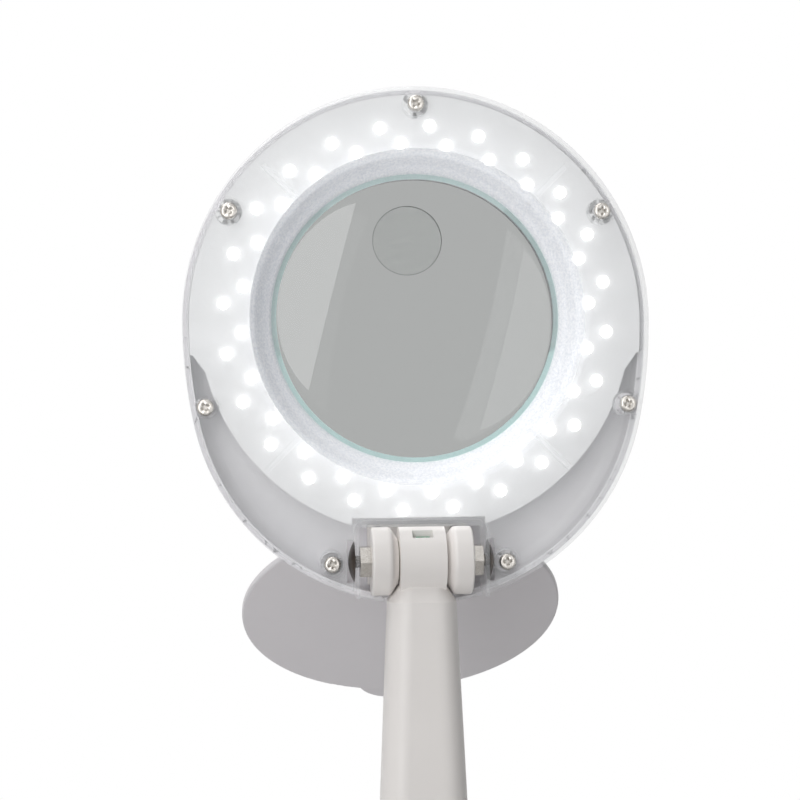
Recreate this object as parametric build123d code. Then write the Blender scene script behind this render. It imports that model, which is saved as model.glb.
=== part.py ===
from build123d import *
import os
from math import atan, cos, hypot, pi, radians, sin, sqrt, tan

# Magnifying lamp. Millimetres, +Z up, origin at the centre of the base's underside.
# The lit side of the head faces -Y and its lens lid hangs open behind it, towards +Y.

# Fits
slip_gap = 0.2
hinge_gap = 0.4
shaft_gap = 0.05
wall_gap = 0.3
self_tap_gap = 0.05

# Base: an oval weighted foot
base_width = 200.0
base_depth = 164.0
base_height = 22.0
base_wall = 2.5
base_edge_radius = 8.0
base_skirt_gap = 1.0
pad_thickness = 2.0
pad_inset = 5.0
pad_chamfer = 0.5
plate_thickness = 2.5
weight_top_gap = 3.0
weight_inset = 9.0
base_post_radius = 4.0
base_screw_head_height = 1.3
base_screw_length = 8.7
base_post_x = 62.0
base_post_y = 36.0

# Push button, its switch and the driver board, near the front of the base
button_from_front = 30.0
button_radius = 8.0
button_proud = 2.0
button_travel = 1.5
button_flange = 1.5
button_flange_thickness = 1.5
button_edge_radius = 1.0
button_gap = 0.4
switch_size = 12.0
board_width = 40.0
board_depth = 26.0
board_thickness = 1.6
board_standoff = 3.5
board_post_inset = 4.0
board_post_radius = 2.0
bay_gap = 2.0

# DC inlet in the rear wall of the base
inlet_height = 8.5
inlet_barrel_radius = 4.0
inlet_bore_radius = 3.0
inlet_bore_depth = 9.0
inlet_body_width = 14.0
inlet_body_depth = 8.0
inlet_top_gap = 4.5
inlet_back_wall = 2.0
inlet_bay_depth = 25.0

# Column pivot on the base
column_y = 30.0
pivot_rise = 16.0
pivot_bolt_radius = 3.0
pivot_head_radius = 6.0
pivot_head_height = 3.5
pivot_head_edge = 1.4
pivot_nut_crown = 1.0
pivot_washer_radius = 9.5
pivot_washer_thickness = 0.6
cheek_radius = 12.0
cheek_thickness = 6.0
flange_width = 54.0
flange_depth = 40.0
flange_thickness = 4.0
flange_corner = 8.0
flange_edge_radius = 1.5
flange_hole_roof = 0.8
flange_screw_gap = 0.4
flange_screw_x = 21.0
flange_screw_y = 13.5

# Column: a hollow tapered post in two shells, with a foot and a neck
column_length = 215.0
column_wall = 2.2
column_top_width = 23.2
column_top_depth = 21.0
column_top_corner = 7.5
column_foot_width = 40.0
column_foot_depth = 27.0
column_foot_corner = 10.0
column_foot_rise = 15.0
lug_half_width = 9.4
lug_radius = 11.5
lug_block_half_depth = 9.0
foot_plate_thickness = 3.0
foot_block_margin = 1.0
foot_block_height = 24.0
spigot_depth = 10.0
spigot_length = 24.0
spigot_edge_radius = 1.5
parting_groove_width = 0.9
parting_groove_depth = 0.5
neck_screw_x = 5.8
foot_screw_x = 11.0
column_boss_radius = 3.0
column_sink_wall = 1.1
column_screw_shoulder = 2.0
column_screw_bite = 3.5

# Head hinge at the top of the column
hinge_radius = 11.6
middle_half_width = 7.8
friction_washer_thickness = 0.4
friction_washer_radius = 7.0
outer_knuckle_width = 9.0
knuckle_edge_radius = 0.8
knuckle_soft_radius = 2.0
hinge_shaft_radius = 2.5
nut_across_flats = 10.0
nut_thickness = 3.8
shoulder_rise = 4.7
shoulder_drop = 1.8
shoulder_width = 14.4
shoulder_depth = 15.0
shoulder_corner = 4.0
window_width = 7.0
window_front = 8.0
window_back = 4.6
lead_radius = 0.75
lead_spacing = 1.6
lead_end_gap = 0.6

# Head, in its own frame: x to the right, y to the head's top, z out of the lit side,
# origin on the lens axis in the reflector's front face
head_hinge_z = 7.0
head_margin = 29.9
head_top_y = -1.2
head_side_flatness = 89.6
hinge_cover = 3.55
housing_wall = 2.0
housing_back = -16.0
housing_split = -3.0
housing_edge_radius = 6.0
tube_overlap = 0.5
notch_gap = 1.0
notch_floor = -11.0
post_radius = 3.8

# Lens
lens_radius = 50.5
lens_lip = 2.2
lens_mouth_flare = 2.5
lens_mouth_depth = 5.0
lens_focal_length = 333.0
lens_index = 1.5
lens_edge_half = 1.6
lens_z = -5.0
lens_tube_wall = 2.5
insert_radius = 12.0
insert_x = -2.4
insert_y = 27.0
insert_proud = 1.3
insert_edge_radius = 0.4

# Light
led_count_per_ring = 24
led_ring_margin = 10.0
led_ring_spacing = 6.05
led_inner_start = 4.6
led_outer_start = 10.5
led_radius = 2.0
led_height = 2.2
led_dome = 1.1
led_hood_gap = 0.65
reflector_thickness = 1.2
reflector_margin = 8.45
reflector_step_high = -12.5
reflector_step_low = -18.4
reflector_step_width = 4.3
reflector_hole_margin = 5.5
led_board_thickness = 1.6
led_board_margin = 2.65
board_rib_half = 0.8
board_rib_inset = 1.0

# Clear cover
cover_front = 7.0
cover_wall = 1.8
cover_skirt = 1.5
cover_edge_radius = 2.5
collar_flare = 7.1
collar_lip = 0.5
collar_thickness = 2.0
rib_inset = 1.0
rib_thickness = 1.8
rib_clearance = 0.2
rib_root = 0.3
boss_radius = 4.6
boss_recess = 0.4
hood_wall = 1.5
hood_top_wall = 2.1
hood_front = 13.0
hood_corner = 4.0

# Cover screws: one at the top, and three down each side, each set in from the outline
top_screw_inset = 5.8
upper_screw_angle = 30.3
upper_screw_inset = 5.9
side_screw_share = 0.86
side_screw_inset = 5.0
low_screw_inset = 7.4
screw_radius = 1.5
screw_head_radius = 2.95
screw_head_height = 2.0
screw_seat = 3.6
screw_length = 12.0
cross_width = 0.9
cross_length = 3.6
cross_depth = 1.1

# Hinge end caps
cap_radius = 7.0
cap_thickness = 2.0
cap_stem_radius = 2.0

# Head bracket
bracket_thickness = 3.0
bracket_pad = 3.0
bracket_edge_gap = 5.85
bracket_top_gap = 0.5
bracket_web_half = 4.5
bracket_screw_x = 13.5
bracket_screw_inset = 2.6
bracket_low_screw_inset = 2.4
bracket_head_radius = 2.3
bracket_head_height = 1.6

# Lens lid
lid_margin = 10.5
lid_thickness = 2.2
lid_edge_radius = 0.8
lid_hinge_reach = 7.5
lid_strap_overlap = 3.0
lid_knuckle_radius = 2.6
lid_knuckle_half = 8.0
lid_ear_width = 4.0
lid_pin_radius = 1.0
lid_open_angle = 127.0
lid_gap = 0.4
lid_face_gap = 1.2
tab_radius = 14.0
tab_reach = 7.5
tab_thickness = 1.4

# Places that follow from the sizes above
plate_low = pad_thickness
plate_high = plate_low + plate_thickness
base_screw_seat = plate_low + base_screw_head_height
base_inner_top = base_height - base_wall
weight_high = base_inner_top - weight_top_gap
button_y = button_from_front - base_depth / 2
pivot_height = base_height + flange_thickness + pivot_rise
knuckle_start = middle_half_width + friction_washer_thickness
outer_knuckle_end = knuckle_start + outer_knuckle_width
hood_half_width = outer_knuckle_end + nut_thickness + wall_gap
hood_outer = hood_half_width + hood_wall
cap_room = hood_outer + cap_thickness + slip_gap + wall_gap
lens_clear_radius = lens_radius - lens_lip
lens_tube_radius = lens_radius + slip_gap + lens_tube_wall
collar_mouth_radius = lens_radius + collar_flare
led_inner_ring = lens_radius + led_ring_margin
led_outer_ring = led_inner_ring + led_ring_spacing
led_board_radius = led_outer_ring + led_board_margin
reflector_hole_radius = lens_radius + reflector_hole_margin
reflector_radius = led_outer_ring + reflector_margin
rib_radius = reflector_radius - rib_inset
hood_top = -led_outer_ring - led_radius - led_hood_gap - hood_top_wall
head_hinge_y = hood_top - hinge_gap - hinge_radius
head_top_radius = lens_radius + head_margin
head_low_edge = head_hinge_y - hinge_radius - hinge_cover
bracket_low = head_low_edge + bracket_edge_gap
bracket_high = hood_top - bracket_top_gap
notch_half_width = column_top_width / 2 + notch_gap
lid_radius = lens_radius + lid_margin
lid_hinge_y = -lid_radius - lid_hinge_reach
hinge_height = pivot_height + column_length
shoulder_start = hinge_radius - shoulder_rise
shoulder_end = hinge_radius + shoulder_drop
shoulder_slope = (column_top_width - shoulder_width) / 2 / (shoulder_rise + shoulder_drop)
knuckle_slant = column_top_width / 2 - shoulder_slope * shoulder_drop + hinge_gap - knuckle_start
knuckle_face_radius = hinge_radius - knuckle_slant / shoulder_slope
lens_height = hinge_height - head_hinge_y
head_y = column_y + head_hinge_z
head_frame = Plane(origin=(0, head_y, lens_height), x_dir=(1, 0, 0), z_dir=(0, -1, 0)).location
lens_surface_radius = 2 * (lens_index - 1) * lens_focal_length
lens_sag = lens_surface_radius - sqrt(lens_surface_radius**2 - lens_clear_radius**2)
lens_seat = lens_z - lens_edge_half
lens_face = lens_z + lens_edge_half
led_board_high = -reflector_thickness
led_board_low = led_board_high - led_board_thickness
lid_hinge_z = housing_back - lid_gap - lid_knuckle_radius
lid_face = housing_back - lid_face_gap
column_low = pivot_height + column_foot_rise
column_high = hinge_height - shoulder_end


def rod(radius, low, high):
    return Pos(0, 0, low) * Cylinder(radius, high - low, align=(Align.CENTER, Align.CENTER, Align.MIN))


def cross_rod(radius, left, right):
    return Pos(left, 0, 0) * Rot(0, 90, 0) * rod(radius, 0, right - left)


def block(x_range, y_range, z_range):
    size = [high - low for low, high in (x_range, y_range, z_range)]
    return Pos(x_range[0], y_range[0], z_range[0]) * Box(*size, align=(Align.MIN,) * 3)


def prism(face, low, high):
    return extrude(Pos(0, 0, low) * face, high - low, dir=(0, 0, 1))


def dome(radius, low, height):
    # a spherical cap standing on a flat disc at z = low
    ball_radius = (radius**2 + height**2) / (2 * height)
    middle = radius / 2
    middle_z = low + height - ball_radius + sqrt(ball_radius**2 - middle**2)
    top = low + height
    arc = ThreePointArc((radius, low), (middle, middle_z), (0, top))
    profile = make_face([Line((0, low), (radius, low)), arc, Line((0, top), (0, low))])
    return revolve(Rot(90, 0, 0) * profile, Axis.Z)


def both_sides(shape):
    return [shape, mirror(shape, Plane.YZ)]


def one_shape(pieces):
    return Compound(children=[piece.solid() if not isinstance(piece, Solid) else piece for piece in pieces])


def base_oval(inset):
    return Ellipse(base_width / 2 - inset, base_depth / 2 - inset)


def pan_screw(length, radius, head_radius, head_height):
    # head seated at z = 0 and rising, shank below it, with a cross recess
    head = rod(head_radius, 0, head_height)
    head = fillet(head.edges().group_by(Axis.Z)[-1], head_height * 0.45)
    slot = block((-cross_length / 2, cross_length / 2), (-cross_width / 2, cross_width / 2),
                 (head_height - cross_depth, head_height))
    shank = rod(radius, -length, 0)
    return head + shank - slot - Rot(0, 0, 90) * slot


# Base

def base_cover():
    shell = prism(base_oval(0), base_skirt_gap, base_height)
    shell = fillet(shell.edges().group_by(Axis.Z)[-1], base_edge_radius)
    hollow = prism(base_oval(base_wall), base_skirt_gap, base_inner_top)
    hollow = fillet(hollow.edges().group_by(Axis.Z)[-1], base_edge_radius - base_wall)
    shell = shell - hollow
    for x in (-base_post_x, base_post_x):
        for y in (-base_post_y, base_post_y):
            shell += Pos(x, y, 0) * rod(base_post_radius, plate_high, base_inner_top + base_wall / 2)
            shell -= Pos(x, y, 0) * rod(screw_radius + self_tap_gap, plate_high, base_inner_top - base_wall)
    shell -= Pos(0, button_y, 0) * rod(button_radius + button_gap, base_inner_top, base_height)
    for x in (-flange_screw_x, flange_screw_x):
        for y in (-flange_screw_y, flange_screw_y):
            shell -= Pos(x, column_y + y, 0) * rod(screw_radius + slip_gap, base_inner_top, base_height)
    mouth = rod(inlet_barrel_radius + slip_gap, -1, 2 * base_wall)
    return shell - Pos(0, base_depth / 2, inlet_height) * Rot(90, 0, 0) * mouth


def base_plate():
    plate = prism(base_oval(base_wall + slip_gap), plate_low, plate_high)
    for x in (-base_post_x, base_post_x):
        for y in (-base_post_y, base_post_y):
            plate -= Pos(x, y, 0) * rod(screw_radius + slip_gap, plate_low, plate_high)
            plate -= Pos(x, y, 0) * rod(screw_head_radius + slip_gap, plate_low, base_screw_seat)
    return plate


def base_screws():
    screws = []
    for x in (-base_post_x, base_post_x):
        for y in (-base_post_y, base_post_y):
            screw = rod(screw_radius, base_screw_seat, base_screw_seat + base_screw_length)
            screw += rod(screw_head_radius, plate_low, base_screw_seat)
            screws.append(Pos(x, y, 0) * screw)
    return one_shape(screws)


def bay(width, depth, y):
    return block((-width / 2, width / 2), (y - depth / 2, y + depth / 2), (plate_high, weight_high))


def base_weight():
    weight = prism(base_oval(weight_inset), plate_high, weight_high)
    for x in (-base_post_x, base_post_x):
        for y in (-base_post_y, base_post_y):
            weight -= Pos(x, y, 0) * rod(base_post_radius + slip_gap, plate_high, weight_high)
    weight -= bay(board_width + 2 * bay_gap, board_depth + 2 * bay_gap, button_y)
    return weight - bay(inlet_body_width + 2 * bay_gap, 2 * inlet_bay_depth, base_depth / 2)


def rubber_pad():
    pad = prism(base_oval(pad_inset), 0, pad_thickness)
    return chamfer(pad.edges().group_by(Axis.Z)[0], pad_chamfer)


def driver_board():
    low = plate_high + board_standoff
    half_x = board_width / 2
    half_y = board_depth / 2
    board = block((-half_x, half_x), (button_y - half_y, button_y + half_y), (low, low + board_thickness))
    post_x = half_x - board_post_inset
    post_y = half_y - board_post_inset
    for x in (-post_x, post_x):
        for y in (-post_y, post_y):
            board += Pos(x, button_y + y, 0) * rod(board_post_radius, plate_high, low)
    return board


def push_switch():
    low = plate_high + board_standoff + board_thickness
    high = base_inner_top - wall_gap - button_flange_thickness - button_travel - slip_gap
    half = switch_size / 2
    return block((-half, half), (button_y - half, button_y + half), (low, high))


def power_button():
    flange_top = base_inner_top - wall_gap
    cap = rod(button_radius, flange_top, base_height + button_proud)
    cap = fillet(cap.edges().group_by(Axis.Z)[-1], button_edge_radius)
    flange = rod(button_radius + button_flange, flange_top - button_flange_thickness, flange_top)
    return Pos(0, button_y, 0) * (cap + flange)


def dc_inlet():
    # the bore opens flush in the rear wall, on the oval's long-run end
    rear = base_depth / 2
    front = rear - inlet_bore_depth - inlet_back_wall
    barrel = Pos(0, rear, inlet_height) * Rot(90, 0, 0) * rod(inlet_barrel_radius, 0, rear - front)
    half = inlet_body_width / 2
    top = base_inner_top - inlet_top_gap
    body_y = (front - inlet_body_depth, rear - base_wall - inlet_back_wall)
    body = block((-half, half), body_y, (plate_high, top))
    bore = Pos(0, rear, inlet_height) * Rot(90, 0, 0) * rod(inlet_bore_radius, 0, inlet_bore_depth)
    return barrel + body - bore


# Column pivot

def pivot_place(shape):
    return Pos(0, column_y, pivot_height) * shape


def pivot_bracket():
    top = base_height + flange_thickness
    flange = prism(RectangleRounded(flange_width, flange_depth, flange_corner), base_height, top)
    flange = fillet(flange.edges().group_by(Axis.Z)[-1], flange_edge_radius)
    bracket = Pos(0, column_y, 0) * flange
    inner = lug_half_width + pivot_washer_thickness
    cheek = cross_rod(cheek_radius, inner, inner + cheek_thickness)
    cheek += block((inner, inner + cheek_thickness), (-cheek_radius, cheek_radius), (top - pivot_height, 0))
    for side in both_sides(cheek):
        bracket += pivot_place(side)
    bracket -= pivot_place(cross_rod(pivot_bolt_radius + shaft_gap, -flange_width, flange_width))
    for x in (-flange_screw_x, flange_screw_x):
        for y in (-flange_screw_y, flange_screw_y):
            hole = rod(screw_radius + self_tap_gap, base_height, top - flange_hole_roof)
            bracket -= Pos(x, column_y + y, 0) * hole
    return bracket


def flange_screws():
    length = base_wall + flange_thickness - flange_hole_roof - flange_screw_gap
    screw = pan_screw(length, screw_radius, screw_head_radius, screw_head_height)
    screw = Pos(0, 0, base_inner_top) * Rot(180, 0, 0) * screw
    places = [(x, y) for x in (-flange_screw_x, flange_screw_x) for y in (-flange_screw_y, flange_screw_y)]
    return one_shape([Pos(x, column_y + y, 0) * screw for x, y in places])


def pivot_bolt():
    outer = lug_half_width + pivot_washer_thickness + cheek_thickness
    head = cross_rod(pivot_head_radius, outer, outer + pivot_head_height)
    head = fillet(head.edges().group_by(Axis.X)[-1], pivot_head_edge)
    return pivot_place(head + cross_rod(pivot_bolt_radius, -outer - pivot_head_height, outer))


def pivot_nut():
    outer = lug_half_width + pivot_washer_thickness + cheek_thickness
    nut = cross_rod(pivot_head_radius, -outer - pivot_head_height - pivot_nut_crown, -outer)
    nut = fillet(nut.edges().group_by(Axis.X)[0], pivot_head_edge)
    return pivot_place(nut - cross_rod(pivot_bolt_radius, -outer - pivot_head_height, -outer))


def pivot_washers():
    outer = lug_half_width + pivot_washer_thickness
    ring = cross_rod(pivot_washer_radius, lug_half_width, outer)
    ring -= cross_rod(pivot_bolt_radius + shaft_gap, lug_half_width, outer)
    return one_shape([pivot_place(side) for side in both_sides(ring)])


# Column

def column_section(height, inset):
    share = (column_high - height) / (column_high - column_low)
    width = column_top_width + (column_foot_width - column_top_width) * share
    depth = column_top_depth + (column_foot_depth - column_top_depth) * share
    corner = column_top_corner + (column_foot_corner - column_top_corner) * share
    section = RectangleRounded(width - 2 * inset, depth - 2 * inset, corner - inset)
    return Pos(0, column_y, height) * section


def column_form(inset, low, high):
    return loft([column_section(low, inset), column_section(high, inset)])


def column_screw_places():
    neck = column_high - spigot_length / 2
    foot = column_low + foot_plate_thickness + foot_block_height / 2
    return [(neck_screw_x, neck), (-neck_screw_x, neck), (foot_screw_x, foot), (-foot_screw_x, foot)]


def column_shell(front):
    side = -1 if front else 1
    shell = column_form(0, column_low, column_high) - column_form(column_wall, column_low, column_high)
    solid_form = column_form(column_wall / 2, column_low, column_high)
    reach = column_foot_depth
    for x, z in column_screw_places():
        radius = column_boss_radius if front else screw_head_radius + slip_gap + column_sink_wall
        boss = Pos(x, column_y, z) * Rot(90 * -side, 0, 0) * rod(radius, spigot_depth / 2, reach)
        shell += boss & solid_form
    half_groove = parting_groove_width / 2
    groove = block((-reach, reach), (-half_groove, half_groove), (column_low, column_high))
    groove = Pos(0, column_y, 0) * groove
    shell -= groove - column_form(parting_groove_depth, column_low, column_high)
    keep = block((-reach, reach), (0, reach), (column_low, column_high))
    if front:
        keep = mirror(keep, Plane.XZ)
    shell = shell & (Pos(0, column_y, 0) * keep)
    seat = spigot_depth / 2 + column_screw_shoulder
    tip = spigot_depth / 2 + column_screw_bite + slip_gap
    for x, z in column_screw_places():
        if front:
            hole = Rot(90, 0, 0) * rod(screw_radius + self_tap_gap, 0, tip)
            shell -= Pos(x, column_y, z) * hole
        else:
            hole = Rot(-90, 0, 0) * rod(screw_radius + slip_gap, 0, reach)
            sink = Rot(-90, 0, 0) * rod(screw_head_radius + slip_gap, seat, reach)
            shell -= Pos(x, column_y, z) * (hole + sink)
    return shell.solid()


def column_screws():
    seat = spigot_depth / 2 + column_screw_shoulder
    length = seat + spigot_depth / 2 + column_screw_bite
    screw = pan_screw(length, screw_radius, screw_head_radius, screw_head_height)
    screw = Rot(-90, 0, 0) * Pos(0, 0, seat) * screw
    return one_shape([Pos(x, column_y, z) * screw for x, z in column_screw_places()])


def screw_way(x, z):
    way = rod(screw_radius + slip_gap, 0, 2 * spigot_depth)
    return Pos(x, column_y + spigot_depth, z) * Rot(90, 0, 0) * way


def column_foot():
    # the lug between the cheeks, a plate closing the column, and a block between the shells
    lug = pivot_place(cross_rod(lug_radius, -lug_half_width, lug_half_width))
    top = column_low + foot_plate_thickness
    stem = (column_y - lug_block_half_depth, column_y + lug_block_half_depth)
    lug += block((-lug_half_width, lug_half_width), stem, (pivot_height, top))
    lug += column_form(column_wall + slip_gap, column_low, top)
    half = foot_screw_x + column_boss_radius + foot_block_margin
    foot_block = block((-half, half), (-spigot_depth / 2, spigot_depth / 2), (top, top + foot_block_height))
    lug += Pos(0, column_y, 0) * foot_block
    lug -= pivot_place(cross_rod(pivot_bolt_radius + shaft_gap, -flange_width, flange_width))
    for x, z in column_screw_places()[2:]:
        lug -= screw_way(x, z)
    half_window = window_width / 2
    lead_way = (column_y - window_front, column_y - window_back - 1)
    return lug - block((-half_window, half_window), lead_way, (column_low - foot_plate_thickness, top))


def column_neck():
    # the middle knuckle, the sloped shoulder below it and a spigot between the shells
    barrel = Pos(0, column_y, hinge_height) * cross_rod(hinge_radius, -middle_half_width, middle_half_width)
    upper = RectangleRounded(shoulder_width, shoulder_depth, shoulder_corner)
    upper = Pos(0, column_y, hinge_height - shoulder_start) * upper
    neck = barrel + loft([column_section(column_high, 0), upper])
    half = column_top_width / 2 - column_wall - slip_gap
    spigot = block((-half, half), (column_y - spigot_depth / 2, column_y + spigot_depth / 2),
                   (column_high - spigot_length, column_high))
    neck += fillet(spigot.edges().filter_by(Axis.Z), spigot_edge_radius)
    bore = cross_rod(hinge_shaft_radius + shaft_gap, -column_top_width, column_top_width)
    neck -= Pos(0, column_y, hinge_height) * bore
    for x, z in column_screw_places()[:2]:
        neck -= screw_way(x, z)
    half_window = window_width / 2
    channel = block((-half_window, half_window), (column_y - window_front, column_y - window_back),
                    (column_high, hinge_height + hinge_radius))
    return neck - channel


def column_lead():
    lead_y = (window_front + window_back) / 2
    top = hinge_height + sqrt(hinge_radius**2 - (lead_y + lead_radius)**2) - lead_end_gap
    lead = rod(lead_radius, column_low, top)
    places = (-lead_spacing, 0, lead_spacing)
    return one_shape([Pos(x, column_y - lead_y - 0.5, 0) * lead for x in places])


# Head

def head_arcs():
    # (x, y, radius) of the top circle, the right side's arc and the bottom circle, each tangent to
    # the next, and the side's turn, which brings the bottom circle down to the low edge
    side_x = -head_side_flatness
    side_radius = head_top_radius + head_side_flatness
    drop = head_top_y - head_low_edge - head_top_radius
    turn = pi / 2 - 2 * atan(1 - drop / head_side_flatness)
    bottom_radius = side_radius + side_x / cos(turn)
    bottom_y = head_top_y + side_x * tan(turn)
    arcs = (0, head_top_y, head_top_radius), (side_x, head_top_y, side_radius), (0, bottom_y, bottom_radius)
    return arcs, turn


def on_arc(arc, angle, inset):
    x, y, radius = arc
    return x + (radius - inset) * cos(angle), y + (radius - inset) * sin(angle)


def head_outline(inset):
    (top, side, bottom), turn = head_arcs()
    right = on_arc(top, 0, inset)
    middle = on_arc(side, -turn / 2, inset)
    bend = on_arc(side, -turn, inset)
    left, left_middle, left_bend = [(-x, y) for x, y in (right, middle, bend)]
    arcs = [
        ThreePointArc(right, on_arc(top, pi / 2, inset), left),
        ThreePointArc(left, left_middle, left_bend),
        ThreePointArc(left_bend, on_arc(bottom, -pi / 2, inset), bend),
        ThreePointArc(bend, middle, right),
    ]
    return make_face(arcs)


def cover_screw_places():
    # the lowest pair stands just clear of the hinge caps
    (top, side, bottom), turn = head_arcs()
    low_x = cap_room + boss_radius + slip_gap
    low_y = bottom[1] - sqrt((bottom[2] - low_screw_inset)**2 - low_x**2)
    right = [
        on_arc(top, radians(upper_screw_angle), upper_screw_inset),
        on_arc(side, -side_screw_share * turn, side_screw_inset),
        (low_x, low_y),
    ]
    return [on_arc(top, pi / 2, top_screw_inset)] + right + [(-x, y) for x, y in right]


def through_reflector(x, y):
    return hypot(x, y) < reflector_radius or y > reflector_step_high


def head_housing():
    shell = prism(head_outline(0), housing_back, housing_split)
    shell = fillet(shell.edges().group_by(Axis.Z)[0], housing_edge_radius)
    floor = housing_back + housing_wall
    hollow = prism(head_outline(housing_wall), floor, housing_split)
    hollow = fillet(hollow.edges().group_by(Axis.Z)[0], housing_edge_radius - housing_wall)
    shell -= hollow
    shell += rod(lens_tube_radius, floor - housing_wall / 2, lens_face - slip_gap)
    root = floor - housing_wall / 2
    inside_skirt = prism(head_outline(cover_skirt + slip_gap), root, cover_front)
    for angle in range(30, 390, 60):
        rib = block((lens_tube_radius - tube_overlap, led_board_radius - board_rib_inset),
                    (-board_rib_half, board_rib_half), (root, led_board_low))
        shell += Rot(0, 0, angle) * rib
    for x, y in cover_screw_places():
        top = -reflector_thickness if through_reflector(x, y) else 0
        shell += (Pos(x, y, 0) * rod(post_radius, root, top)) & inside_skirt
        shell -= Pos(x, y, 0) * rod(screw_radius + self_tap_gap, top - screw_length, top)
    pad_x = (-outer_knuckle_end, outer_knuckle_end)
    shell += block(pad_x, (bracket_low, bracket_high), (root, floor + bracket_pad))
    for x, y in bracket_screw_places():
        shell -= Pos(x, y, 0) * rod(screw_radius + self_tap_gap, root, floor + bracket_pad)
    ear_low = lid_knuckle_half + wall_gap
    ear = cross_rod(lid_knuckle_radius, ear_low, ear_low + lid_ear_width)
    ear += block((ear_low, ear_low + lid_ear_width), (-lid_knuckle_radius, lid_knuckle_radius),
                 (0, root - lid_hinge_z))
    for side in both_sides(ear):
        shell += Pos(0, lid_hinge_y, lid_hinge_z) * side
    reach = ear_low + lid_ear_width
    shell -= Pos(0, lid_hinge_y, lid_hinge_z) * cross_rod(lid_pin_radius + shaft_gap, -reach, reach)
    shell -= rod(lens_clear_radius, housing_back, lens_face)
    shell -= rod(lens_radius + slip_gap, lens_seat, lens_face)
    mouth = Cone(lens_clear_radius + lens_mouth_flare, lens_clear_radius, lens_mouth_depth,
                 align=(Align.CENTER, Align.CENTER, Align.MIN))
    shell -= Pos(0, 0, housing_back) * mouth
    far = 2 * head_top_radius
    notch = block((-notch_half_width, notch_half_width), (-far, bracket_low), (notch_floor, 0))
    return (shell - notch).solid()


def bracket_screw_places():
    rows = (bracket_high - bracket_screw_inset, bracket_low + bracket_low_screw_inset)
    return [(x, y) for x in (-bracket_screw_x, bracket_screw_x) for y in rows]


def on_hinge(shape):
    return Pos(0, head_hinge_y, head_hinge_z) * shape


def head_bracket():
    low = housing_back + housing_wall + bracket_pad
    top = low + bracket_thickness
    plate = block((-outer_knuckle_end, outer_knuckle_end), (bracket_low, bracket_high), (low, top))
    slant_end = knuckle_start + knuckle_slant
    profile = Polyline((knuckle_start, 0), (knuckle_start, knuckle_face_radius), (slant_end, hinge_radius),
                       (outer_knuckle_end, hinge_radius), (outer_knuckle_end, 0), close=True)
    knuckle = revolve(make_face(profile), Axis.X)
    rims = knuckle.edges().filter_by(GeomType.CIRCLE).group_by(Axis.X)
    knuckle = fillet(rims[1], knuckle_soft_radius)
    rims = knuckle.edges().filter_by(GeomType.CIRCLE).group_by(Axis.X)
    knuckle = fillet(rims[-1], knuckle_edge_radius)
    knuckle = on_hinge(knuckle)
    web_low = bracket_low + bracket_low_screw_inset + bracket_head_radius + slip_gap
    web = block((slant_end + knuckle_soft_radius / 2, outer_knuckle_end - knuckle_edge_radius),
                (web_low, head_hinge_y + bracket_web_half),
                (top - bracket_thickness / 2, head_hinge_z))
    for side in both_sides(knuckle + web):
        plate += side
    for x, y in bracket_screw_places():
        plate -= Pos(x, y, 0) * rod(screw_radius + slip_gap, low, top)
    return plate - on_hinge(cross_rod(hinge_shaft_radius + shaft_gap, -hood_half_width, hood_half_width))


def bracket_screws():
    top = housing_back + housing_wall + bracket_pad + bracket_thickness
    length = bracket_thickness + bracket_pad
    screw = pan_screw(length, screw_radius, bracket_head_radius, bracket_head_height)
    return one_shape([Pos(x, y, top) * screw for x, y in bracket_screw_places()])


def hinge_shaft():
    reach = outer_knuckle_end + nut_thickness
    return on_hinge(cross_rod(hinge_shaft_radius, -reach, reach))


def hinge_nuts():
    hexagon = RegularPolygon(nut_across_flats / 2, 6, major_radius=False)
    nut = prism(hexagon, outer_knuckle_end, outer_knuckle_end + nut_thickness)
    nut -= rod(hinge_shaft_radius, outer_knuckle_end, outer_knuckle_end + nut_thickness)
    return one_shape([on_hinge(side) for side in both_sides(Rot(0, 90, 0) * nut)])


def friction_washers():
    ring = cross_rod(friction_washer_radius, middle_half_width, knuckle_start)
    ring -= cross_rod(hinge_shaft_radius + shaft_gap, 0, outer_knuckle_end)
    return one_shape([on_hinge(side) for side in both_sides(ring)])


def hinge_caps():
    # a shallow dome outside each hood wall, on a stem that meets the shaft's end
    start = hood_outer + slip_gap / 2
    stem = rod(cap_stem_radius, outer_knuckle_end + nut_thickness, start)
    cap = Rot(0, 90, 0) * (stem + dome(cap_radius, start, cap_thickness))
    return one_shape([on_hinge(side) for side in both_sides(cap)])


def led_places():
    step = 360 / led_count_per_ring
    places = []
    for ring, start in ((led_inner_ring, led_inner_start), (led_outer_ring, led_outer_start)):
        for index in range(led_count_per_ring):
            angle = radians(start + index * step)
            places.append((ring * cos(angle), ring * sin(angle)))
    return places


def hinge_clearing(face):
    half_width = hood_outer + wall_gap
    half_height = head_top_radius + hood_top_wall + wall_gap
    return face - Pos(0, hood_top - head_top_radius) * Rectangle(2 * half_width, 2 * half_height)


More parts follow.
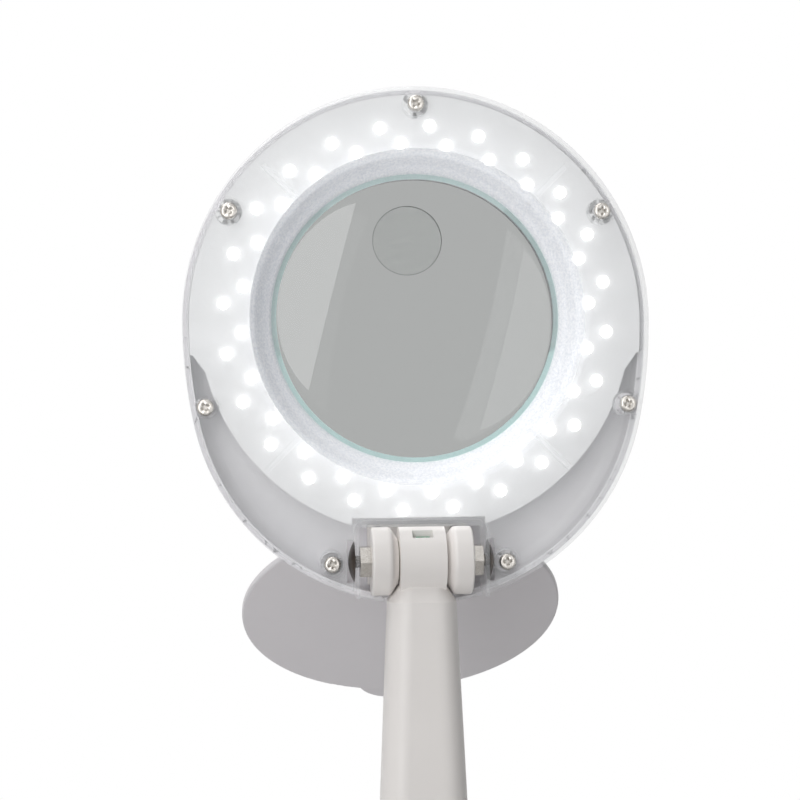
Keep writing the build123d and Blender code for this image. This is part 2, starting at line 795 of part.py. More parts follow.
def reflector_plate():
    wide = 2 * head_top_radius
    inner_x = sqrt(reflector_radius**2 - reflector_step_low**2)
    outer_x = inner_x + reflector_step_width
    right = [(inner_x, reflector_step_low), (outer_x, reflector_step_high),
             (wide, reflector_step_high), (wide, wide)]
    left = [(-x, y) for x, y in reversed(right)]
    upper = make_face(Polyline(*right, *left, close=True))
    face = head_outline(housing_wall + slip_gap) & (Circle(reflector_radius) + upper)
    face = face - Circle(reflector_hole_radius)
    face = hinge_clearing(face)
    plate = prism(face, -reflector_thickness, 0)
    for x, y in led_places():
        plate -= Pos(x, y, 0) * rod(led_radius + slip_gap, -reflector_thickness, 0)
    for x, y in cover_screw_places():
        radius = screw_radius if through_reflector(x, y) else post_radius
        plate -= Pos(x, y, 0) * rod(radius + slip_gap, -reflector_thickness, 0)
    return plate.solid()


def led_board():
    face = hinge_clearing(Circle(led_board_radius) - Circle(reflector_hole_radius))
    return prism(face, led_board_low, led_board_high).solid()


def leds():
    shoulder = led_height - led_dome
    led = rod(led_radius, led_board_high, shoulder) + dome(led_radius, shoulder, led_dome)
    return one_shape([Pos(x, y, 0) * led for x, y in led_places()])


def lens():
    half = lens_edge_half + lens_sag
    edge = lens_clear_radius
    middle = edge / 2
    middle_z = half - lens_surface_radius + sqrt(lens_surface_radius**2 - middle**2)
    front = ThreePointArc((0, half), (middle, middle_z), (edge, lens_edge_half))
    rim = Polyline((edge, lens_edge_half), (lens_radius, lens_edge_half), (lens_radius, -lens_edge_half),
                   (edge, -lens_edge_half))
    back = ThreePointArc((edge, -lens_edge_half), (middle, -middle_z), (0, -half))
    profile = make_face([front] + rim.edges() + [back, Line((0, -half), (0, half))])
    body = revolve(Rot(90, 0, 0) * profile, Axis.Z)
    return Pos(0, 0, lens_z) * body


def insert_lens():
    away = hypot(insert_x, insert_y)
    sag = lens_surface_radius - sqrt(lens_surface_radius**2 - away**2)
    surface = lens_z - lens_edge_half - lens_sag + sag
    button = Pos(insert_x, insert_y, 0) * rod(insert_radius, surface - insert_proud, lens_z)
    button = fillet(button.edges().group_by(Axis.Z)[0], insert_edge_radius)
    return (button - lens()).solids().sort_by(Axis.Z)[0]


def clear_cover():
    inner_front = cover_front - cover_wall
    outside = prism(head_outline(0), housing_split, cover_front)
    outside = fillet(outside.edges().group_by(Axis.Z)[-1], cover_edge_radius)
    shell = outside - prism(head_outline(cover_skirt), housing_split, inner_front)
    shell -= rod(collar_mouth_radius + collar_thickness / 2, inner_front, cover_front)
    tip = lens_radius - collar_lip
    outer_tip = tip + collar_thickness
    outer_mouth = collar_mouth_radius + collar_thickness
    collar = [(tip, lens_face), (outer_tip, lens_face), (outer_mouth, inner_front),
              (outer_mouth, cover_front), (collar_mouth_radius, cover_front)]
    shell += revolve(Rot(90, 0, 0) * make_face(Polyline(*collar, close=True)), Axis.Z)
    slope = (outer_mouth - outer_tip) / (inner_front - lens_face)
    rib_inner = outer_tip + slope * (rib_clearance - lens_face) - rib_root
    rib_top = inner_front + cover_wall / 2
    rib_corners = [(rib_inner, rib_clearance), (rib_radius, rib_clearance),
                   (rib_radius, rib_top), (outer_mouth - rib_root, rib_top)]
    rib_face = make_face(Polyline(*rib_corners, close=True))
    rib = extrude(Rot(90, 0, 0) * rib_face, rib_thickness / 2, both=True)
    for angle in range(45, 405, 90):
        shell += Rot(0, 0, angle) * rib
    shell = with_hood(shell)
    for x, y in cover_screw_places():
        shell += (Pos(x, y, 0) * rod(boss_radius, 0, cover_front - boss_recess)) & outside
        shell -= Pos(x, y, 0) * rod(screw_head_radius + slip_gap, screw_seat, cover_front)
        shell -= Pos(x, y, 0) * rod(screw_radius + slip_gap, 0, cover_front)
    return shell.solid()


def with_hood(shell):
    # raised walls round the hinge, open to the front; the skirt runs on below the knuckles
    far = 2 * head_top_radius
    span = hood_top + hood_top_wall
    outside = block((-hood_outer, hood_outer), (-far, span), (-reflector_thickness, hood_front))
    upper_corners = outside.edges().filter_by(Axis.Z).group_by(Axis.Y)[-1]
    outside = fillet(upper_corners, hood_corner)
    opening = block((-hood_half_width, hood_half_width), (-far, hood_top), (housing_split, hood_front))
    walls = (outside - opening) & prism(head_outline(0), -reflector_thickness, hood_front)
    shell -= opening & prism(head_outline(cover_skirt), housing_split, hood_front)
    shell += walls
    reach = outer_knuckle_end + wall_gap
    shell -= on_hinge(cross_rod(hinge_radius + wall_gap, -reach, reach))
    shell -= block((-notch_half_width, notch_half_width), (-far, head_hinge_y), (housing_split, hood_front))
    for side in both_sides(block((hood_outer, cap_room), (-cap_radius - wall_gap, cap_radius + wall_gap),
                                 (-head_hinge_z, hood_front))):
        shell -= on_hinge(side)
    return shell - on_hinge(cross_rod(cap_stem_radius + slip_gap, -cap_room, cap_room))


def cover_screws():
    screw = pan_screw(screw_length, screw_radius, screw_head_radius, screw_head_height)
    return one_shape([Pos(x, y, screw_seat) * screw for x, y in cover_screw_places()])


# Lens lid, drawn closed and then swung open about its pin

def open_lid(shape):
    opened = Rot(-lid_open_angle, 0, 0) * Pos(0, -lid_hinge_y, -lid_hinge_z) * shape
    return Pos(0, lid_hinge_y, lid_hinge_z) * opened


def lens_lid():
    low = lid_face - lid_thickness
    disc = fillet(rod(lid_radius, low, lid_face).edges().group_by(Axis.Z)[0], lid_edge_radius)
    tab_y = lid_radius + tab_reach - tab_radius
    disc += Pos(0, tab_y, 0) * rod(tab_radius, lid_face - tab_thickness, lid_face)
    half = lid_knuckle_half
    disc += block((-half, half), (lid_hinge_y, -lid_radius + lid_strap_overlap), (low, lid_face))
    disc += Pos(0, lid_hinge_y, lid_hinge_z) * cross_rod(lid_knuckle_radius, -half, half)
    disc -= Pos(0, lid_hinge_y, lid_hinge_z) * cross_rod(lid_pin_radius + shaft_gap, -half, half)
    return open_lid(disc)


def lid_pin():
    half = lid_knuckle_half + wall_gap + lid_ear_width
    return Pos(0, lid_hinge_y, lid_hinge_z) * cross_rod(lid_pin_radius, -half, half)


standing = {
    "rubber_pad": rubber_pad,
    "base_plate": base_plate,
    "base_weight": base_weight,
    "base_cover": base_cover,
    "base_screws": base_screws,
    "driver_board": driver_board,
    "push_switch": push_switch,
    "power_button": power_button,
    "dc_inlet": dc_inlet,
    "pivot_bracket": pivot_bracket,
    "pivot_flange_screws": flange_screws,
    "pivot_bolt": pivot_bolt,
    "pivot_nut": pivot_nut,
    "pivot_washers": pivot_washers,
    "column_foot": column_foot,
    "column_front_shell": lambda: column_shell(True),
    "column_rear_shell": lambda: column_shell(False),
    "column_screws": column_screws,
    "column_neck": column_neck,
    "column_lead": column_lead,
}
on_head = {
    "head_housing": head_housing,
    "head_bracket": head_bracket,
    "bracket_screws": bracket_screws,
    "hinge_shaft": hinge_shaft,
    "hinge_nuts": hinge_nuts,
    "hinge_friction_washers": friction_washers,
    "hinge_caps": hinge_caps,
    "led_board": led_board,
    "leds": leds,
    "reflector_plate": reflector_plate,
    "main_lens": lens,
    "insert_lens": insert_lens,
    "clear_cover": clear_cover,
    "cover_screws": cover_screws,
    "lid_pin": lid_pin,
    "lens_lid": lens_lid,
}

os.makedirs("parts", exist_ok=True)
for name, make in standing.items():
    export_step(make(), f"parts/{name}.step")
for name, make in on_head.items():
    export_step(head_frame * make(), f"parts/{name}.step")
print("hinge axis y, z:", column_y, hinge_height)
print("lens centre y, z:", head_y, lens_height)
print("lid pin y, z:", head_y - lid_hinge_z, lens_height + lid_hinge_y)
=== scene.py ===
import math

import bmesh
import bpy
from mathutils import Matrix, Vector


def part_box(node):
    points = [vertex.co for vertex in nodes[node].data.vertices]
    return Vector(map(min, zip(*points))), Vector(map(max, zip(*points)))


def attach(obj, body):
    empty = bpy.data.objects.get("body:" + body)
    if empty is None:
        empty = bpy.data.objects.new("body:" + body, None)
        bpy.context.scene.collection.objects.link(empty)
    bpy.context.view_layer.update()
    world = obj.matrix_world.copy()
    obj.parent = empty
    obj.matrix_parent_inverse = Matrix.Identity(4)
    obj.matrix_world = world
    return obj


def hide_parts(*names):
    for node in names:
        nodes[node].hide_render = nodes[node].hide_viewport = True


# Magnifying lamp: materials, diodes, screws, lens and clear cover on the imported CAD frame.

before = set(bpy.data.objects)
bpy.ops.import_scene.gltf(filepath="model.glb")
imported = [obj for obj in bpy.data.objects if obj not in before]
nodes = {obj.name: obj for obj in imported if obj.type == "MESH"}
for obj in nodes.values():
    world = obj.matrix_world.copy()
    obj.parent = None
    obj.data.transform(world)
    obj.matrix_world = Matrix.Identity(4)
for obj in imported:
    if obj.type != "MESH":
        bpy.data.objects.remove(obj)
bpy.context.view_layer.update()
mm = 0.001
mergeGap = 0.001 * mm


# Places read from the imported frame

def islands(node):
    # the loose solids of a CAD node, each as a list of its corners
    shape = bmesh.new()
    shape.from_mesh(nodes[node].data)
    bmesh.ops.remove_doubles(shape, verts=shape.verts, dist=mergeGap)
    seen = set()
    groups = []
    for start in shape.verts:
        if start in seen:
            continue
        seen.add(start)
        group = [start]
        for vert in group:
            for edge in vert.link_edges:
                other = edge.other_vert(vert)
                if other not in seen:
                    seen.add(other)
                    group.append(other)
        groups.append([vert.co.copy() for vert in group])
    shape.free()
    return groups


def boxOf(points):
    low = Vector([min(p[i] for p in points) for i in range(3)])
    high = Vector([max(p[i] for p in points) for i in range(3)])
    return low, high


def middleOf(low, high):
    return (Vector(low) + Vector(high)) / 2


lensLow, lensHigh = (Vector(corner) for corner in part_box("main_lens"))
lensCentre = middleOf(lensLow, lensHigh)


# Materials

def linear(hexColour):
    # sRGB hex to linear RGBA
    parts = [int(hexColour[i:i + 2], 16) / 255 for i in (1, 3, 5)]
    return [c / 12.92 if c <= 0.04045 else ((c + 0.055) / 1.055) ** 2.4 for c in parts] + [1.0]


def addNode(tree, kind, settings=None, links=None):
    # settings: a socket's or property's name and value; links: a socket's name or number and an output
    node = tree.nodes.new(kind)
    for name, value in (settings or {}).items():
        if isinstance(name, int) or name in node.inputs:
            node.inputs[name].default_value = value
        else:
            setattr(node, name, value)
    for name, output in (links or {}).items():
        tree.links.new(output, node.inputs[name])
    return node


def newMaterial(name, sockets):
    material = bpy.data.materials.new(name)
    material.use_nodes = True
    tree = material.node_tree
    shader = tree.nodes["Principled BSDF"]
    for socket, value in sockets.items():
        shader.inputs[socket].default_value = value
    place = addNode(tree, "ShaderNodeTexCoord")
    return material, tree, shader, place.outputs["Object"]


def noiseAt(tree, place, sizeMm, detail=2.0, roughness=0.5):
    # noise with features about sizeMm across
    settings = {"Scale": 1 / (sizeMm * mm), "Detail": detail, "Roughness": roughness}
    return addNode(tree, "ShaderNodeTexNoise", settings, {"Vector": place}).outputs["Fac"]


def ramp(tree, value, first, last, low=0.3, high=0.7):
    # value from low to high, where most of a noise lies, becomes first to last
    settings = {"From Min": low, "From Max": high, "To Min": first, "To Max": last}
    return addNode(tree, "ShaderNodeMapRange", settings, {"Value": value}).outputs["Result"]


def twoColours(tree, value, first, last):
    mix = addNode(tree, "ShaderNodeMix", {"data_type": "RGBA"})
    mix.inputs[6].default_value = linear(first)
    mix.inputs[7].default_value = linear(last)
    tree.links.new(value, mix.inputs[0])
    return mix.outputs[2]


def bump(tree, shader, height, depthMm, strength=1.0):
    settings = {"Strength": strength, "Distance": depthMm * mm}
    node = addNode(tree, "ShaderNodeBump", settings, {"Height": height})
    tree.links.new(node.outputs["Normal"], shader.inputs["Normal"])


def mouldedPlastic(name, pale, dark, roughness, grainMm, grainDepth):
    # injection-moulded ABS: a fine even grain under a soft satin gloss, slightly clouded
    material, tree, shader, place = newMaterial(name, {"IOR": 1.54})
    cloud = noiseAt(tree, place, 35, 3.0)
    tree.links.new(twoColours(tree, cloud, dark, pale), shader.inputs["Base Color"])
    sheen = ramp(tree, noiseAt(tree, place, 6, 2.0), roughness - 0.05, roughness + 0.06)
    tree.links.new(sheen, shader.inputs["Roughness"])
    bump(tree, shader, noiseAt(tree, place, grainMm, 2.0, 0.6), grainDepth)
    return material


def brightSteel(name, pale, dark, roughness, scratchMm):
    # plated steel, bright or browned: a cloudy plating with fine tool marks that break up its shine
    material, tree, shader, place = newMaterial(name, {"Metallic": 1.0})
    cloud = noiseAt(tree, place, 1.2, 3.0)
    tree.links.new(twoColours(tree, cloud, dark, pale), shader.inputs["Base Color"])
    gloss = ramp(tree, noiseAt(tree, place, scratchMm, 4.0, 0.7), roughness - 0.08, roughness + 0.1)
    tree.links.new(gloss, shader.inputs["Roughness"])
    bump(tree, shader, cloud, 0.02)
    return material


def clearAcrylic():
    # moulded clear acrylic: thin, hard and glossy, so one looks straight through it and sees it by its
    # reflections and by the faint waves that the flow leaves
    material, tree, shader, place = newMaterial("clearAcrylic", {
        "Base Color": linear("#F6F8FA"), "Roughness": 0.04, "IOR": 1.49, "Alpha": 0.2})
    bump(tree, shader, noiseAt(tree, place, 9, 2.0), 0.03)
    return material


def frostedAcrylicPaintedGlow():
    # the same acrylic where the mould was etched: it is milky, in fine specks, and has a faint painted
    # glow, an emission that stands in for the diodes' light running inside it
    material, tree, shader, place = newMaterial("frostedAcrylicPaintedGlow", {
        # the emission is a painted glow
        "IOR": 1.49, "Alpha": 0.7, "Emission Color": linear("#F1F5FF"), "Emission Strength": 0.14})
    speck = noiseAt(tree, place, 0.9, 3.0, 0.7)
    colour = twoColours(tree, ramp(tree, speck, 0, 1, 0.35, 0.65), "#E3E6EB", "#FFFFFF")
    tree.links.new(colour, shader.inputs["Base Color"])
    tree.links.new(ramp(tree, speck, 0.28, 0.5, 0.35, 0.65), shader.inputs["Roughness"])
    bump(tree, shader, speck, 0.12)
    return material


def opticalGlass(name, tint):
    # polished crown glass with a tint: for the insert, the faint green-grey of thick glass; for the main
    # lens, a mid grey that is painted shade, darkening all that is seen through it
    material, tree, shader, place = newMaterial(name, {
        "Base Color": linear(tint), "Roughness": 0.0, "IOR": 1.52, "Transmission Weight": 1.0})
    bump(tree, shader, noiseAt(tree, place, 40, 0.0), 0.002)
    return material


def groundGlass():
    # the lens edge, ground and not polished: cloudy, and pale green from the depth of glass behind it
    material, tree, shader, place = newMaterial("groundGlassEdge", {
        "IOR": 1.52, "Transmission Weight": 0.45})
    grit = noiseAt(tree, place, 0.5, 3.0, 0.7)
    tree.links.new(twoColours(tree, grit, "#B4CFCE", "#DCECEA"), shader.inputs["Base Color"])
    tree.links.new(ramp(tree, grit, 0.3, 0.5), shader.inputs["Roughness"])
    return material


def satinReflector():
    # white sprayed sheet with a slight orange peel, which spreads the light of the diodes
    material, tree, shader, place = newMaterial("satinWhiteReflector", {"IOR": 1.5})
    cloud = noiseAt(tree, place, 18, 3.0)
    tree.links.new(twoColours(tree, cloud, "#F4F4F4", "#FAFAFA"), shader.inputs["Base Color"])
    peel = noiseAt(tree, place, 1.6, 2.0)
    tree.links.new(ramp(tree, peel, 0.38, 0.5), shader.inputs["Roughness"])
    bump(tree, shader, peel, 0.04)
    return material


def litEpoxy():
    # water-clear epoxy over a lit diode: it glows evenly and clips to white
    material, tree, shader, place = newMaterial("litLedEpoxy", {
        "Base Color": linear("#FFFFFF"), "Roughness": 0.15, "Emission Color": linear("#FFFFFF")})
    glow = ramp(tree, noiseAt(tree, place, 2.5, 0.0), 1.6, 1.9)
    tree.links.new(glow, shader.inputs["Emission Strength"])
    return material


def circuitBoard(name, mask, track):
    # glass-epoxy board under solder mask, with copper tracks showing faintly through it
    material, tree, shader, place = newMaterial(name, {"Roughness": 0.4})
    lines = addNode(tree, "ShaderNodeTexVoronoi", {"feature": "DISTANCE_TO_EDGE", "Scale": 1 / (6 * mm)},
                    {"Vector": place}).outputs["Distance"]
    colour = twoColours(tree, ramp(tree, lines, 0, 1, 0.04, 0.08), track, mask)
    tree.links.new(colour, shader.inputs["Base Color"])
    return material


def castOrRubber(name, pale, dark, roughness, grainMm, depth, metallic=0.0):
    # sand-cast iron or moulded rubber: a matt skin with coarse grain
    material, tree, shader, place = newMaterial(name, {"Roughness": roughness, "Metallic": metallic})
    grain = noiseAt(tree, place, grainMm, 4.0, 0.65)
    tree.links.new(twoColours(tree, grain, dark, pale), shader.inputs["Base Color"])
    bump(tree, shader, grain, depth)
    return material


def dress(material, *names):
    for name in names:
        mesh = nodes[name].data
        mesh.materials.clear()
        mesh.materials.append(material)


whiteAbs = mouldedPlastic("mouldedWhiteAbs", "#F5F1EE", "#EFEBE8", 0.4, 0.45, 0.012)
sprayedAbs = mouldedPlastic("sprayedHousingAbs", "#EFEDEF", "#E5E3E6", 0.5, 0.8, 0.05)
# the lid is the same white ABS made a little darker: painted shade for the lid's face that looks down, away
# from the lamps
lidAbsPaintedShade = mouldedPlastic("mouldedLidAbsPaintedShade", "#E9E6E9", "#E3E0E3", 0.4, 0.45, 0.012)
buttonAbs = mouldedPlastic("greyButtonAbs", "#94979D", "#888B92", 0.35, 0.5, 0.01)
blackAbs = mouldedPlastic("blackSwitchAbs", "#1C1C1D", "#141415", 0.45, 0.5, 0.02)
plateAbs = mouldedPlastic("greyPlateAbs", "#A5A5A8", "#9A9A9E", 0.55, 0.8, 0.04)
washerNylon = mouldedPlastic("washerNylon", "#A5A298", "#99968C", 0.5, 0.4, 0.01)
leadSkin = mouldedPlastic("greenLeadInsulation", "#6FB592", "#5AA480", 0.45, 0.6, 0.01)
zinc = brightSteel("zincPlatedSteel", "#D2CFCB", "#A9A49D", 0.26, 0.3)
blackenedSteel = brightSteel("brownedSteel", "#4A4038", "#2A221C", 0.3, 0.4)
acrylic = clearAcrylic()
frosted = frostedAcrylicPaintedGlow()
# the main lens's mid-grey tint is painted shade: it darkens everything seen through the lens
glass = opticalGlass("opticalGlass", "#A7A9A8")
insertGlass = opticalGlass("insertGlass", "#FAFBFA")
glassEdge = groundGlass()
ledGlow = litEpoxy()

dress(whiteAbs, "base_cover", "pivot_bracket", "column_foot", "column_front_shell", "column_rear_shell",
      "column_neck", "head_bracket")
dress(sprayedAbs, "head_housing")
dress(lidAbsPaintedShade, "lens_lid")
dress(buttonAbs, "power_button")
dress(blackAbs, "push_switch", "dc_inlet")
dress(plateAbs, "base_plate")
dress(washerNylon, "pivot_washers", "hinge_friction_washers")
dress(leadSkin, "column_lead")
dress(zinc, "hinge_shaft", "lid_pin", "column_screws", "bracket_screws", "base_screws",
      "pivot_flange_screws", "cover_screws", "hinge_nuts")
dress(blackenedSteel, "hinge_caps", "pivot_bolt", "pivot_nut")
dress(satinReflector(), "reflector_plate")
dress(circuitBoard("whiteSolderMask", "#DDE0DC", "#C9CDC6"), "led_board")
dress(circuitBoard("greenSolderMask", "#2C6B3E", "#3C8350"), "driver_board")
dress(castOrRubber("blackMouldedRubber", "#202020", "#121212", 0.8, 0.7, 0.08), "rubber_pad")
dress(castOrRubber("castIron", "#4A4A4C", "#303033", 0.6, 1.5, 0.2, 0.9), "base_weight")
dress(acrylic, "clear_cover")
print("materials ready")


# Mesh helpers

def newPiece(name, shape, body, slot, *materials, smoothDegrees=30.0):
    # a bmesh becomes an object at the origin, smooth but for edges sharper than smoothDegrees
    bmesh.ops.remove_doubles(shape, verts=shape.verts, dist=mergeGap / 2)
    limit = math.radians(smoothDegrees)
    for face in shape.faces:
        face.smooth = True
    for edge in shape.edges:
        if len(edge.link_faces) == 2 and edge.calc_face_angle(0) > limit:
            edge.smooth = False
    mesh = bpy.data.meshes.new(name)
    shape.to_mesh(mesh)
    shape.free()
    for material in materials:
        mesh.materials.append(material)
    piece = bpy.data.objects.new(name, mesh)
    bpy.context.scene.collection.objects.link(piece)
    if body:
        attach(piece, body)
    return piece


def lathe(profile, segments):
    # a closed shape turned about Z from (radius, height) points, bottom to top
    shape = bmesh.new()
    rings = []
    for radius, height in profile:
        if radius < 1e-9:
            rings.append([shape.verts.new((0, 0, height))])
            continue
        turns = [2 * math.pi * i / segments for i in range(segments)]
        rings.append([shape.verts.new((radius * math.cos(t), radius * math.sin(t), height)) for t in turns])
    for lower, upper in zip(rings, rings[1:]):
        for i in range(segments):
            j = (i + 1) % segments
            if len(lower) == 1:
                shape.faces.new((lower[0], upper[j], upper[i]))
            elif len(upper) == 1:
                shape.faces.new((lower[i], lower[j], upper[0]))
            else:
                shape.faces.new((lower[i], lower[j], upper[j], upper[i]))
    return shape


def inMetres(profile):
    # a profile in millimetres, with its ends put exactly on the axis where they stop there
    return [(0 if r < 1e-6 else r * mm, h * mm) for r, h in profile]


def arc(centre, radius, start, end, steps):
    # points on an arc, angles in degrees
    angles = [math.radians(start + (end - start) * i / steps) for i in range(steps + 1)]
    return [(centre[0] + radius * math.cos(a), centre[1] + radius * math.sin(a)) for a in angles]


def facingLight(place):
    # turns a shape drawn up Z so that Z points out of the lit side, and moves it to its place
    return Matrix.Translation(place) @ Matrix.Rotation(math.radians(90), 4, "X")


# Repeated pieces: a template copied to the places of a CAD node's solids

def repeatTree():
    # named inputs: the template, how far each copy may turn about its own Z, the seed and the material
    tree = bpy.data.node_groups.new("copyToPlaces", "GeometryNodeTree")
    face = tree.interface
    face.new_socket("Geometry", in_out="INPUT", socket_type="NodeSocketGeometry")
    face.new_socket("Template", in_out="INPUT", socket_type="NodeSocketObject")
    face.new_socket("Turn", in_out="INPUT", socket_type="NodeSocketFloat")
    face.new_socket("Seed", in_out="INPUT", socket_type="NodeSocketInt")
    face.new_socket("Finish", in_out="INPUT", socket_type="NodeSocketMaterial")
    face.new_socket("Geometry", in_out="OUTPUT", socket_type="NodeSocketGeometry")
    given = addNode(tree, "NodeGroupInput")
    template = addNode(tree, "GeometryNodeObjectInfo", {"transform_space": "ORIGINAL"},
                       {"Object": given.outputs["Template"]})
    turn = addNode(tree, "FunctionNodeRandomValue", {"data_type": "FLOAT"})
    tree.links.new(given.outputs["Turn"], turn.inputs[3])
    tree.links.new(given.outputs["Seed"], turn.inputs["Seed"])
    spin = addNode(tree, "ShaderNodeCombineXYZ", links={"Z": turn.outputs[1]})
    copies = addNode(tree, "GeometryNodeInstanceOnPoints", links={
        "Points": given.outputs["Geometry"], "Instance": template.outputs["Geometry"],
        "Rotation": spin.outputs[0]})
    real = addNode(tree, "GeometryNodeRealizeInstances", links={"Geometry": copies.outputs["Instances"]})
    finish = addNode(tree, "GeometryNodeSetMaterial", links={
        "Geometry": real.outputs["Geometry"], "Material": given.outputs["Finish"]})
    addNode(tree, "NodeGroupOutput", links={"Geometry": finish.outputs["Geometry"]})
    return tree


copyTree = repeatTree()


def copiesAt(name, template, places, turnDegrees, seed, body, material):
    # places are points of a cloud drawn up Z, then turned with the head to face the light's way
    turned = facingLight(lensCentre)
    back = turned.inverted()
    mesh = bpy.data.meshes.new(name + "Points")
    mesh.from_pydata([back @ Vector(place) for place in places], [], [])
    cloud = bpy.data.objects.new(name + "Points", mesh)
    bpy.context.scene.collection.objects.link(cloud)
    modifier = cloud.modifiers.new("copies", "NODES")
    modifier.node_group = copyTree
    values = {"Template": template, "Turn": math.radians(turnDegrees), "Seed": seed, "Finish": material}
    for socket in copyTree.interface.items_tree:
        if socket.in_out == "INPUT" and socket.name in values:
            modifier[socket.identifier] = values[socket.name]
    ready = cloud.evaluated_get(bpy.context.evaluated_depsgraph_get())
    result = bpy.data.meshes.new_from_object(ready)
    bpy.data.objects.remove(cloud)
    bpy.data.objects.remove(template)
    result.transform(turned)
    result.name = name
    piece = bpy.data.objects.new(name, result)
    bpy.context.scene.collection.objects.link(piece)
    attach(piece, body)
    return piece


def cutWith(piece, cutter):
    modifier = piece.modifiers.new("cut", "BOOLEAN")
    modifier.operation = "DIFFERENCE"
    modifier.solver = "EXACT"
    modifier.object = cutter
    ready = piece.evaluated_get(bpy.context.evaluated_depsgraph_get())
    mesh = bpy.data.meshes.new_from_object(ready)
    piece.modifiers.clear()
    piece.data = mesh
    bpy.data.objects.remove(cutter)


# Cover screws

screw = {"headRadius": 2.9, "headHeight": 1.95, "shoulder": 1.0, "shoulderSweep": 80, "edge": 0.15,
         "crossLength": 1.8, "crossWidth": 0.38, "crossDepth": 1.2, "crossOver": 0.1,
         "floorLength": 0.45, "floorWidth": 0.78, "shankRadius": 1.45, "tipRadius": 0.7, "tipLength": 1.0,
         "seatDepth": 2.0, "segments": 32, "turn": 360.0, "seed": 6}


def crossBlade(turn):
    # a tapered blade, wider at the top
    shape = bmesh.new()
    rows = []
    floor = (screw["headHeight"] - screw["crossDepth"], screw["floorLength"], screw["floorWidth"])
    mouth = (screw["headHeight"] + screw["crossOver"], 1.0, 1.0)
    for height, lengthShare, widthShare in (floor, mouth):
        long = screw["crossLength"] * lengthShare
        wide = screw["crossWidth"] * widthShare
        corners = ((-long, -wide), (long, -wide), (long, wide), (-long, wide))
        rows.append([shape.verts.new(Vector((x, y, height)) * mm) for x, y in corners])
    lower, upper = rows
    shape.faces.new(lower[::-1])
    shape.faces.new(upper)
    for i in range(4):
        j = (i + 1) % 4
        shape.faces.new((lower[i], lower[j], upper[j], upper[i]))
    shape.transform(Matrix.Rotation(math.radians(turn), 4, "Z"))
    return newPiece("crossBlade", shape, None, None, smoothDegrees=1)


def screwTemplate(length):
    # pan head with a soft shoulder on a plain shank; Z is the screw's own axis, zero at the seat
    soft = screw["shoulder"]
    high = screw["headHeight"]
    wide = screw["headRadius"]
    edge = screw["edge"]
    shank = screw["shankRadius"]
    crown = arc((wide - soft, high - soft), soft, 0, screw["shoulderSweep"], 6) + [(0, high)]
    profile = [(0, -length), (shank * screw["tipRadius"], -length), (shank, -length + screw["tipLength"]),
               (shank, 0), (wide - edge, 0), (wide, edge)] + crown
    piece = newPiece("screwTemplate", lathe(inMetres(profile), screw["segments"]), None, None)
    for turn in (0, 90):
        cutWith(piece, crossBlade(turn))
    return piece


def makeCoverScrews():
    groups = islands("cover_screws")
    places = []
    for group in groups:
        low, high = boxOf(group)
        middle = middleOf(low, high)
        places.append((middle.x, low.y + screw["seatDepth"] * mm, middle.z))
    length = (high.y - low.y) / mm - screw["seatDepth"]
    piece = copiesAt("coverScrewSet", screwTemplate(length), places, screw["turn"], screw["seed"], "head",
                     zinc)
    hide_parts("cover_screws")


makeCoverScrews()
print("cover screws made")


# Light-emitting diodes

led = {"radius": 1.97, "flangeRadius": 2.0, "flangeHeight": 0.5, "flangeEdge": 0.05,
       "rings": 6, "segments": 20}


def makeLeds():
    groups = islands("leds")
    places = []
    for group in groups:
        low, high = boxOf(group)
        middle = middleOf(low, high)
        places.append((middle.x, high.y, middle.z))
    height = (high.y - low.y) / mm
    crown = arc((0, height - led["radius"]), led["radius"], 0, 90, led["rings"])
    profile = [(0, 0), (led["flangeRadius"], 0), (led["flangeRadius"], led["flangeHeight"]),
               (led["radius"], led["flangeHeight"] + led["flangeEdge"])] + crown
    template = newPiece("ledTemplate", lathe(inMetres(profile), led["segments"]), None, None)
    piece = copiesAt("ledSet", template, places, 0.0, 1, "head", ledGlow)
    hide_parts("leds")


makeLeds()
print("diodes made")


# Lenses

lens = {"segments": 160, "steps": 14, "edgeBevel": 0.35, "edgeHalf": 1.6, "lip": 2.2, "smoothDegrees": 20.0}


def makeLens():
    # biconvex, with a ground edge and a small bevel at each rim; drawn up Z about its middle plane
    radius = (lensHigh.x - lensLow.x) / 2 / mm
    half = (lensHigh.y - lensLow.y) / 2 / mm
    clear = radius - lens["lip"]
    edge = lens["edgeHalf"]
    sag = half - edge
    ball = (clear ** 2 + sag ** 2) / (2 * sag)
    reach = math.degrees(math.asin(clear / ball))
    back = arc((0, ball - half), ball, -90, -90 + reach, lens["steps"])
    front = arc((0, half - ball), ball, 90 - reach, 90, lens["steps"])
    bevel = lens["edgeBevel"]
    rim = [(radius - bevel, -edge), (radius, -edge + bevel), (radius, edge - bevel), (radius - bevel, edge)]
    shape = lathe(inMetres(back + rim + front), lens["segments"])
    for face in shape.faces:
        middle = face.calc_center_median()
        if math.hypot(middle.x, middle.y) > clear * mm:
            face.material_index = 1
    shape.transform(facingLight(lensCentre))
    piece = newPiece("mainLensGlass", shape, "head", "lens_glass", glass, glassEdge,
                     smoothDegrees=lens["smoothDegrees"])
    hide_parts("main_lens")
    piece.visible_shadow = False


makeLens()
dress(insertGlass, "insert_lens")
nodes["insert_lens"].visible_shadow = False
print("lenses made")


# Clear cover

cover = {"collarOuter": 57.6, "steepest": 0.2, "flattest": 0.97, "smoothDegrees": 32.0}


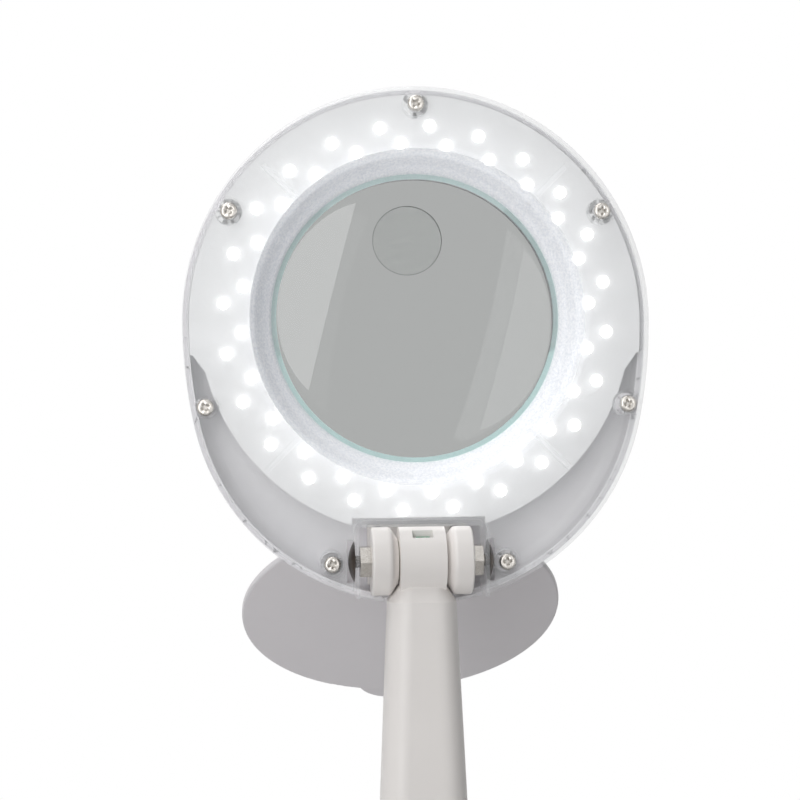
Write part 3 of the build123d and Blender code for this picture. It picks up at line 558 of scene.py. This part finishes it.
def makeCover():
    # the moulded cover; the slopes of its collar round the lens are etched
    shape = bmesh.new()
    shape.from_mesh(nodes["clear_cover"].data)
    bmesh.ops.remove_doubles(shape, verts=shape.verts, dist=mergeGap)
    for face in shape.faces:
        middle = face.calc_center_median()
        away = math.hypot(middle.x - lensCentre.x, middle.z - lensCentre.z) / mm
        sloped = cover["steepest"] < abs(face.normal.y) < cover["flattest"]
        if away < cover["collarOuter"] and sloped:
            face.material_index = 1
    piece = newPiece("clearCoverMoulding", shape, "head", "clear_acrylic", acrylic, frosted,
                     smoothDegrees=cover["smoothDegrees"])
    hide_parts("clear_cover")
    piece.visible_shadow = False


makeCover()
print("clear cover made")


# Studio

floorSize = {"radius": 0.62, "segments": 96, "cloudMm": 300}
view = {"lens": 81.0, "sensor": 36.0, "offset": (-60.97 * mm, -618.36 * mm, -33.33 * mm),
              "forward": (0.08846, 0.99605, 0.00797), "up": (0.00926, -0.00882, 0.99992)}
panels = {
    "keyPanel": {"place": (-0.56, -1.10, 0.50), "size": (0.80, 1.30), "power": 8.3, "roll": -12},
    "fillPanel": {"place": (0.80, -1.08, 0.38), "size": (0.70, 1.30), "power": 2.6, "roll": -16},
    "topPanel": {"place": (-0.35, 0.0, 1.3), "size": (0.9, 0.9), "power": 8.0, "roll": 0},
}
sky = {"seen": 1.0, "onMatt": 0.1}
panelAim = (0, 0, 0.3)


def makeCamera():
    data = bpy.data.cameras.new("frontCamera")
    data.lens = view["lens"]
    data.sensor_width = view["sensor"]
    camera = bpy.data.objects.new("frontCamera", data)
    bpy.context.scene.collection.objects.link(camera)
    backward = -Vector(view["forward"]).normalized()
    up = Vector(view["up"])
    right = up.cross(backward).normalized()
    up = backward.cross(right)
    turn = Matrix((right, up, backward)).transposed().to_4x4()
    aimed = Vector((lensCentre.x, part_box("reflector_plate")[0][1], lensCentre.z))
    camera.matrix_world = Matrix.Translation(aimed + Vector(view["offset"])) @ turn
    bpy.context.scene.camera = camera


def makeFloor():
    mesh = bpy.data.meshes.new("studioFloor")
    shape = bmesh.new()
    bmesh.ops.create_circle(shape, cap_ends=True, segments=floorSize["segments"],
                            radius=floorSize["radius"])
    shape.to_mesh(mesh)
    shape.free()
    floor = bpy.data.objects.new("studioFloor", mesh)
    bpy.context.scene.collection.objects.link(floor)
    material, tree, shader, place = newMaterial("paleFloor", {"Roughness": 0.8})
    tree.links.new(twoColours(tree, noiseAt(tree, place, floorSize["cloudMm"], 2.0), "#EEEEEE", "#F6F6F6"),
                   shader.inputs["Base Color"])
    mesh.materials.append(material)


def makeLights():
    for name, row in panels.items():
        data = bpy.data.lights.new(name, "AREA")
        data.shape = "RECTANGLE"
        data.size, data.size_y = row["size"]
        data.energy = row["power"]
        light = bpy.data.objects.new(name, data)
        bpy.context.scene.collection.objects.link(light)
        light.location = row["place"]
        aim = Vector(panelAim) - light.location
        turn = aim.to_track_quat("-Z", "Y").to_matrix() @ Matrix.Rotation(math.radians(row["roll"]), 3, "Z")
        light.rotation_euler = turn.to_euler()
        light.visible_camera = False
        # only the reflection of the fill panel shows, so the right side stays darker
        light.visible_diffuse = name != "fillPanel"
    world = bpy.data.worlds.new("studioWorld")
    bpy.context.scene.world = world
    world.use_nodes = True
    tree = world.node_tree
    tree.nodes.clear()
    path = addNode(tree, "ShaderNodeLightPath")
    dim = addNode(tree, "ShaderNodeBackground", {"Color": (1, 1, 1, 1), "Strength": sky["onMatt"]})
    bright = addNode(tree, "ShaderNodeBackground", {"Color": (1, 1, 1, 1), "Strength": sky["seen"]})
    mix = addNode(tree, "ShaderNodeMixShader", links={
        0: path.outputs["Is Diffuse Ray"], 1: bright.outputs[0], 2: dim.outputs[0]})
    addNode(tree, "ShaderNodeOutputWorld", links={"Surface": mix.outputs[0]})
    bpy.context.scene.view_settings.view_transform = "Standard"


makeCamera()
makeFloor()
makeLights()
print("studio ready")
